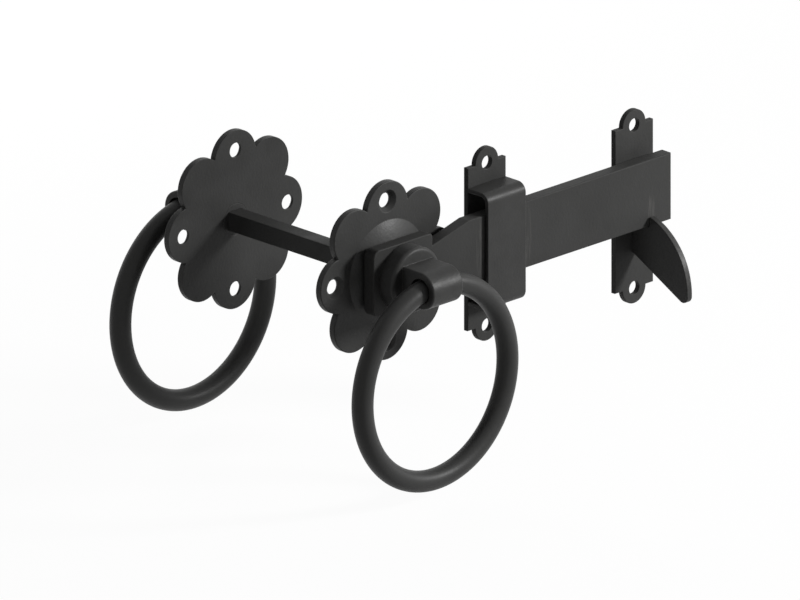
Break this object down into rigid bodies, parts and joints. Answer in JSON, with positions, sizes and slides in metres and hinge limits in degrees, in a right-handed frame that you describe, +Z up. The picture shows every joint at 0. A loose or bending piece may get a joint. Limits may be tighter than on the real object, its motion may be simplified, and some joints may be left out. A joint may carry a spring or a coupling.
{
  "type": "ring gate latch",
  "caption": "Black ring gate latch: pull rings on lobed roses turn a square spindle that lifts a flat arm out of a hooked catch, with a staple that guides the arm.",
  "frame": {"origin": "on the spindle's axis, in the plane of the gate's front face, the middle of the front rose's screws", "axes": "+X along the latch arm towards the catch, +Z up, -Y out of the gate's front face"},
  "size_m": [0.1773, 0.1373, 0.1116],
  "materials": {
    "rose_black": "satin black coating over steel",
    "arm_black": "satin black coating over steel",
    "boss_black": "satin black coating over steel",
    "ring_black": "satin black coating over steel",
    "spindle_black": "satin black coating over steel",
    "fixing_steel": "black oxide steel",
    "plate_black": "satin black coating over steel",
    "strap_black": "satin black coating over steel"
  },
  "bodies": {
    "gate_fittings": {"front_rose": "rose_black", "back_rose": "rose_black", "staple_plate": "plate_black", "staple_bridge": "strap_black", "catch_plate": "plate_black", "catch_hook": "strap_black"},
    "latch": {"latch_arm": "arm_black", "front_boss": "boss_black", "spindle": "spindle_black", "spindle_pin": "fixing_steel", "back_boss": "boss_black", "grub_screw": "fixing_steel"},
    "front_pull": {"front_ring": "ring_black"},
    "back_pull": {"back_ring": "ring_black"}
  },
  "joints": [
    {"name": "latch_lift", "type": "hinge", "parent": "gate_fittings", "child": "latch", "pos_m": [0, 0, 0], "axis": [0, -1, 0], "range_deg": [0, 5]},
    {"name": "front_ring_swing", "type": "hinge", "parent": "latch", "child": "front_pull", "pos_m": [0, -0.02665, 0], "axis": [-1, 0, 0], "range_deg": [-17, 197]},
    {"name": "back_ring_swing", "type": "hinge", "parent": "latch", "child": "back_pull", "pos_m": [0, 0.09665, 0], "axis": [1, 0, 0], "range_deg": [-13, 193]}
  ]
}
